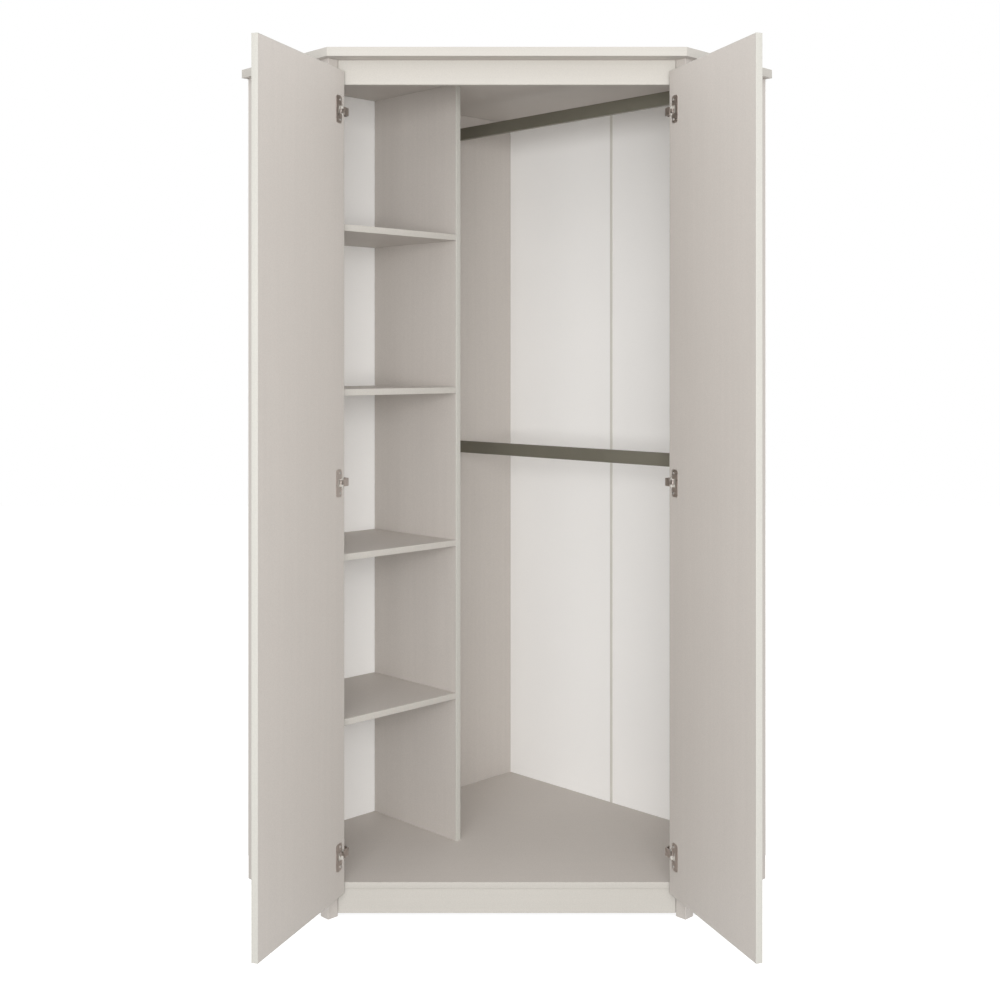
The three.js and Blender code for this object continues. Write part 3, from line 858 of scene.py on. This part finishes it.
@dataclass
class HangingRail:
    """Flat-sided steel tube between two sockets, each with two screws."""

    shop: Workshop
    plan: Plan
    place: str
    height: float = 0.034
    width: float = 0.015
    corner: float = 0.002
    corner_steps: int = 6
    wall: float = 0.0012
    from_wall: float = 0.250
    plate_height: float = 0.062
    plate_width: float = 0.026
    plate: float = 0.0025
    plate_steps: int = 12
    plate_flat: float = 0.00002
    edge: float = 0.0006
    collar_depth: float = 0.012
    collar_rim: float = 0.0023
    collar_wall: float = 0.002
    screw: ScrewHead = ScrewHead(0.0034, 0.0012)
    screw_turn: Triple = (0.4, 0.3, 1.0)

    def build(self) -> None:
        """Makes the tube, its sockets and their screws."""
        node = f"{self.place}_rail"
        middle = middle_height(node)
        near = self.plan.board + self.plan.seam
        far = self.plan.wall_leg - self.plan.board - self.plan.seam
        gap = self.plate + self.plan.seam
        outer = self.section()
        bore = self.section(-self.wall)
        length = far - near - 2 * gap
        tube = loft([(outer, 0.0), (outer, length), (bore, length), (bore, 0.0)], wrap=True)
        run = self.plan.along_right()
        start = self.plan.point(self.from_wall, near + gap, middle)
        rail = self.shop.piece(f"{node}_tube", [(tube, self.upright(start, run))], OLIVE_PAINT)
        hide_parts(node)
        for label, reach, into in (("left", near, run), ("right", far, -run)):
            spot = self.plan.point(self.from_wall, reach, middle)
            self.socket(f"{node}_{label}_socket", self.upright(spot, into), into)

    def section(self, grown: float = 0.0) -> list[Point]:
        """The tube's outline, grown by a rim all round."""
        size = self.width + 2 * grown, self.height + 2 * grown
        return rounded(*size, self.corner + grown, self.corner_steps)

    def plate_outline(self, inset: float = 0.0) -> list[Point]:
        """The socket plate's outline with its round ends, drawn in by an inset all round."""
        width, height = self.plate_width - 2 * inset, self.plate_height - 2 * inset
        return rounded(width, height, (width - self.plate_flat) / 2, self.plate_steps)

    def upright(self, spot: Vector, run: Vector) -> Matrix:
        """Place whose Z runs along the rail and whose Y is up."""
        return seat(spot, run, UP.cross(run))

    def socket(self, node: str, place: Matrix, into: Vector) -> None:
        """Makes one socket and its screws.

        Args:
            node: the frame's node that it stands for.
            place: the middle of its plate's back, with Z inwards.
            into: the way that the socket faces.
        """
        full, slim = self.plate_outline(), self.plate_outline(self.edge)
        plate = loft([(full, 0.0), (full, self.plate - self.edge), (slim, self.plate)])
        outer = self.section(self.collar_rim)
        inner = self.section(self.collar_rim - self.collar_wall)
        lip = self.section(self.collar_rim - self.edge / 2)
        foot, top = self.plate / 2, self.collar_depth
        rings = [(outer, foot), (outer, top - self.edge), (lip, top), (inner, top), (inner, foot)]
        collar = loft(rings, wrap=True)
        made = self.shop.piece(f"{node}_cast", [(plate, place), (collar, place)], OLIVE_PAINT)
        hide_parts(node)
        reach = (self.height / 2 + self.collar_rim + self.plate_height / 2) / 2
        screws = []
        for side in (-1, 1):
            spot = place @ Vector((0, side * reach, self.plate))
            screws.append((self.screw.mesh(), seat(spot, into, Vector(self.screw_turn))))
        self.shop.piece(f"{node}_screws", screws, BRIGHT_ZINC)


@dataclass(frozen=True)
class MountScrew:
    """One screw of a hinge arm or of the block under it.

    It is sunk behind the arm's second bend or, on the block, behind the post's inner face. It lies back from
    that bend along the short side, and above the hinge's middle.
    """

    on_arm: bool
    sunk: float
    back: float
    above: float
    head: ScrewHead


@dataclass
class Door:
    """One door with its edge bands, knob, hinge cups and their linings, and hinge screws."""

    shop: Workshop
    bands: EdgeBands
    plan: Plan
    side: Side
    width: float = 0.40704
    height: float = 1.997
    thickness: float = 0.016
    arris: float = 0.0005
    axis_from_edge: float = 0.0056
    axis_from_face: float = 0.0066
    bottom: float = 0.060
    open_angle: float = math.radians(110)
    knob_from_edge: float = 0.062
    knob_height: float = 1.0
    knob_radius: float = 0.015
    knob_length: float = 0.024
    knob_sides: int = 64
    knob_steps: int = 5
    knob_shares: tuple[Point, ...] = (
        (0.66, 0.0), (0.66, 0.06), (0.43, 0.2), (0.41, 0.36), (0.46, 0.5), (0.86, 0.62),
        (0.99, 0.72), (0.98, 0.8), (0.86, 0.9), (0.5, 0.985), (0.12, 1.0),
    )
    spigot: tuple[Point, ...] = ((0.0036, -0.0085), (0.0038, -0.0005), (0.0098, 0.0))
    hinges: tuple[int, ...] = (1, 2, 3)
    hinge_arris: float = 0.00015
    flange_screws: float = 0.0184
    flange_face: float = 0.0083
    flange_pitch: float = 0.048
    flange_screw: ScrewHead = ScrewHead(0.0036, 0.0011)
    flange_turn: Triple = (0.8, 0.0, 1.0)
    cup_centre: float = 0.0143
    cup_floor: float = -0.0048
    cup_rim: float = 0.0068
    liner_radius: float = 0.01655
    liner_wall: float = 0.0003
    liner_gap: float = math.radians(20)
    liner_steps: int = 40
    second_bend: Point = (0.01536, 0.016)
    mount_turn: Triple = (0.5, 0.0, 1.0)
    mount_screws: tuple[MountScrew, ...] = (
        MountScrew(True, 0.0025, 0.031, 0.0, ScrewHead(0.0031, 0.0011)),
        MountScrew(True, 0.0013, 0.0085, 0.0, ScrewHead(0.0026, 0.001)),
        MountScrew(False, 0.003, 0.031, 0.0175, ScrewHead(0.0036, 0.0012)),
        MountScrew(False, 0.003, 0.031, -0.0175, ScrewHead(0.0036, 0.0012)),
    )

    def build(self) -> None:
        """Dresses the leaf and makes its bands, knob and hinge details."""
        self.shop.dress(f"{self.side.label}_door", BOARD_UPRIGHT, self.arris)
        self.band_edges()
        self.make_knob()
        for number in self.hinges:
            self.dress_hinge(number)

    @property
    def body(self) -> str:
        """The frame's body that the door is."""
        return f"{self.side.label}_door"

    @property
    def reach(self) -> float:
        """From the axis to the free edge."""
        return self.width - self.axis_from_edge

    def axis(self) -> Vector:
        """The hinge axis at the door's bottom edge."""
        joint = next(j for j in frame["joints"] if j["child"] == self.body)
        return Vector((joint["pos_m"][0], joint["pos_m"][1], self.bottom))

    def place(self) -> Matrix:
        """The open door's own axes: X from the axis to the free edge, Y out of the inner face."""
        turn = Matrix.Rotation(self.side.value * self.open_angle, 4, "Z")
        own = Matrix.Translation(self.axis()) @ turn
        return own if self.side is Side.LEFT else own @ MIRROR

    def band_edges(self) -> None:
        """Bands all four edges."""
        middle = self.axis_from_face - self.thickness / 2
        first, last = -self.axis_from_edge, self.reach
        edges = {
            "free": ((last, 0.0), (last, self.height), RIGHT),
            "hinge": ((first, 0.0), (first, self.height), -RIGHT),
            "top": ((first, self.height), (last, self.height), UP),
            "bottom": ((first, 0.0), (last, 0.0), -UP),
        }
        for label, (start, end, outward) in edges.items():
            name = f"{self.body}_{label}_band"
            ends = Vector((start[0], middle, start[1])), Vector((end[0], middle, end[1]))
            self.bands.strip(name, ends, outward, self.thickness, BAND_UPRIGHT, self.body, self.place())

    def make_knob(self) -> None:
        """Turns the knob, with its spigot in the door."""
        points = [(r * self.knob_radius, h * self.knob_length) for r, h in self.knob_shares]
        outer = self.axis_from_face - self.thickness
        spot = Vector((self.reach - self.knob_from_edge, outer - self.plan.seam, self.knob_height))
        shape = turned([*self.spigot, *smooth_line(points, self.knob_steps)], self.knob_sides)
        place = self.place() @ seat(spot, FRONT, RIGHT)
        knob = self.shop.piece(f"{self.body}_turned_knob", [(shape, place)], SATIN_NICKEL, self.body)
        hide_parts(f"{self.side.label}_knob")

    def dress_hinge(self, number: int) -> None:
        """Dresses one hinge, counted from the bottom, lines its cup and drives its screws."""
        label = self.side.label
        for piece in ("cup", "arm", "mount"):
            self.shop.dress(f"{label}_hinge_{piece}_{number}", SATIN_NICKEL, self.hinge_arris)
        level = middle_height(f"{label}_hinge_mount_{number}")
        own = level - self.bottom
        flange = []
        for side in (-1, 1):
            spot = Vector((self.flange_screws, self.flange_face, own + side * self.flange_pitch / 2))
            place = self.place() @ seat(spot, -FRONT, Vector(self.flange_turn))
            flange.append((self.flange_screw.mesh(), place))
        self.shop.piece(f"{label}_hinge_cup_{number}_screws", flange, BRIGHT_ZINC, self.body)
        self.shop.piece(f"{label}_hinge_cup_{number}_liner", self.cup_liner(own), PALE_PLASTIC, self.body)
        self.shop.piece(f"{label}_hinge_mount_{number}_screws", self.drive_mount(level), BRIGHT_ZINC)

    def cup_liner(self, level: float) -> list[Shape]:
        """The pale lining of a hinge cup, open where the arm comes in.

        Args:
            level: the hinge's height on the door.

        Returns:
            The lining's wall and floor with their places.
        """
        inner = self.liner_radius - self.liner_wall
        reach = math.pi - self.liner_gap
        outline = arc(self.liner_radius, -reach, reach, self.liner_steps)
        outline += arc(inner, reach, -reach, self.liner_steps)
        wall = loft([(outline, self.liner_wall), (outline, self.cup_rim - self.cup_floor)])
        floor = turned([(inner, self.liner_wall / 2), (inner, self.liner_wall * 3 / 2)])
        spot = Vector((self.cup_centre, self.cup_floor, level))
        place = self.place() @ seat(spot, -FRONT, RIGHT)
        return [(wall, place), (floor, place)]

    def drive_mount(self, level: float) -> list[Shape]:
        """The screws of one arm and its block, in the left-hand form or mirrored.

        Args:
            level: the hinge's height.

        Returns:
            The screws with their places.
        """
        plan = self.plan
        axis = self.axis()
        bend = Vector((-abs(axis.x) + self.second_bend[0], axis.y + self.second_bend[1]))
        arm, reach = plan.distances(bend)
        post = plan.wall_leg - plan.post_side - plan.seam
        mirror = Matrix() if self.side is Side.LEFT else MIRROR
        screws = []
        for screw in self.mount_screws:
            across = (arm if screw.on_arm else post) - screw.sunk
            spot = plan.point(across, reach - screw.back, level + screw.above)
            place = mirror @ seat(spot, -plan.along_left(), Vector(self.mount_turn))
            screws.append((screw.head.mesh(), place))
        return screws


@dataclass
class Feet:
    """Plastic glides under the panels, and the foot under the floor board."""

    shop: Workshop
    arris: float = 0.0006
    glides: Names = ("left_side", "right_side", "back_corner", "back_divider")

    def build(self) -> None:
        """Dresses the feet."""
        for node in [*(f"{glide}_glide" for glide in self.glides), "floor_support_foot"]:
            self.shop.dress(node, PALE_PLASTIC, self.arris)


@dataclass
class Studio:
    """Pale floor, soft light from the front and the camera."""

    eye_distance: float = 3.244
    eye_height: float = 1.350
    eye_plane: float = 0.018  # from the floor board's edge to where the distance starts
    lens: float = 48.24
    sensor: float = 36.0
    shift: Point = (-0.0069, -0.1378)
    sight: float = 60.0
    ambient: float = 1.08
    key_power: float = 114.0
    key_size: Point = (3.0, 1.6)
    key_place: Triple = (0.0, -4.4, 1.5)
    key_aim: Triple = (0.0, 0.0, 1.1)
    white: Colour = (1.0, 1.0, 1.0, 1.0)
    floor_half: float = 9.0
    floor_cells: int = 8
    floor_drop: float = 0.0004
    paper: tuple[Colour, Colour] = ((0.36, 0.36, 0.357, 1.0), (0.4, 0.4, 0.397, 1.0))
    paper_fibres: Pattern = Pattern(240, 3)
    glow: Span = (0.84, 1.0)
    glow_reach: Span = (0.8, 2.2)

    def build(self) -> None:
        """Sets the stage, the light and the camera."""
        self.set_floor()
        self.set_world()
        self.set_key()
        self.set_camera()

    def background_rays(self, sketch: NodeSketch) -> Socket:
        """1 for rays from the camera, in a reflection or through glass, and else 0."""
        path = sketch.node("ShaderNodeLightPath")
        seen = path.outputs["Is Camera Ray"]
        for name in ("Is Glossy Ray", "Is Transmission Ray"):
            seen = sketch.maths("MAXIMUM", seen, path.outputs[name])
        return seen

    def set_floor(self) -> None:
        """Lays a pale floor that reads as white paper and keeps the wardrobe's soft shadow."""
        sheet = bmesh.new()
        cells = self.floor_cells
        bmesh.ops.create_grid(sheet, x_segments=cells, y_segments=cells, size=self.floor_half)
        mesh = bpy.data.meshes.new("studio_floor")
        sheet.to_mesh(mesh)
        sheet.free()
        floor = placed("studio_floor", mesh)
        floor.location.z = -self.floor_drop
        paper = bpy.data.materials.new("studio_paper")
        sketch = fresh_sketch(paper)
        place = sketch.node("ShaderNodeTexCoord").outputs["Object"]
        reach = sketch.node("ShaderNodeVectorMath", {0: place}, operation="LENGTH").outputs["Value"]
        ends = dict(zip(("From Min", "From Max", "To Min", "To Max"), self.glow_reach + self.glow))
        ramp = sketch.node("ShaderNodeMapRange", {"Value": reach, **ends}, interpolation_type="SMOOTHSTEP")
        strength = sketch.maths("MULTIPLY", ramp.outputs["Result"], self.background_rays(sketch))
        tone = sketch.mixed(sketch.spread(sketch.noise(place, self.paper_fibres)), *self.paper)
        matt = sketch.node("ShaderNodeBsdfDiffuse", {"Color": tone}).outputs["BSDF"]
        light = sketch.node("ShaderNodeEmission", {"Color": self.white, "Strength": strength})
        both = sketch.node("ShaderNodeAddShader", {0: matt, 1: light.outputs["Emission"]}).outputs["Shader"]
        sketch.node("ShaderNodeOutputMaterial", {"Surface": both})
        mesh.materials.append(paper)
        log.info("studio floor laid")

    def set_world(self) -> None:
        """Sets even ambient light, with a white background where it is seen."""
        world = bpy.data.worlds.new("studio_world")
        sketch = fresh_sketch(world)
        around, backdrop = (
            sketch.node("ShaderNodeBackground", {"Color": self.white, "Strength": strength}).outputs[0]
            for strength in (self.ambient, 1.0)
        )
        mix = sketch.node("ShaderNodeMixShader", {0: self.background_rays(sketch), 1: around, 2: backdrop})
        sketch.node("ShaderNodeOutputWorld", {"Surface": mix.outputs["Shader"]})
        bpy.context.scene.world = world

    def set_key(self) -> None:
        """Hangs a large soft lamp straight in front, near the camera's height."""
        lamp = bpy.data.lights.new("key_lamp", "AREA")
        lamp.shape = "RECTANGLE"
        lamp.size, lamp.size_y = self.key_size
        lamp.energy = self.key_power
        key = placed("key_lamp", lamp)
        key.location = self.key_place
        aim = Vector(self.key_aim) - key.location
        key.rotation_euler = aim.to_track_quat("-Z", "Y").to_euler()

    def set_camera(self) -> None:
        """Sets the level camera in front of the wardrobe."""
        lens = bpy.data.cameras.new("camera")
        lens.sensor_width = self.sensor
        lens.lens = self.lens
        lens.shift_x, lens.shift_y = self.shift
        lens.clip_end = self.sight
        eye = placed("camera", lens)
        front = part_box("floor_board")[0].y - self.eye_plane
        eye.location = (0, front - self.eye_distance, self.eye_height)
        eye.rotation_euler = (math.pi / 2, 0, 0)
        bpy.context.scene.camera = eye
        bpy.context.scene.view_settings.view_transform = "Standard"
        log.info("camera at %s", tuple(round(value, 3) for value in eye.location))


def main() -> None:
    """Builds the wardrobe's looks in order."""
    logging.basicConfig(level=logging.INFO, format="%(name)s: %(message)s")
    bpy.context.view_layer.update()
    shop = Workshop()
    plan = Plan(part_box("left_back_panel")[1].y)
    bands = EdgeBands(shop)
    Carcass(shop, plan, bands).build()
    Backs(shop, plan).build()
    for place in ("upper", "lower"):
        HangingRail(shop, plan, place).build()
    for side in Side:
        Door(shop, bands, plan, side).build()
    Feet(shop).build()
    Studio().build()


if __name__ == "__main__":
    main()
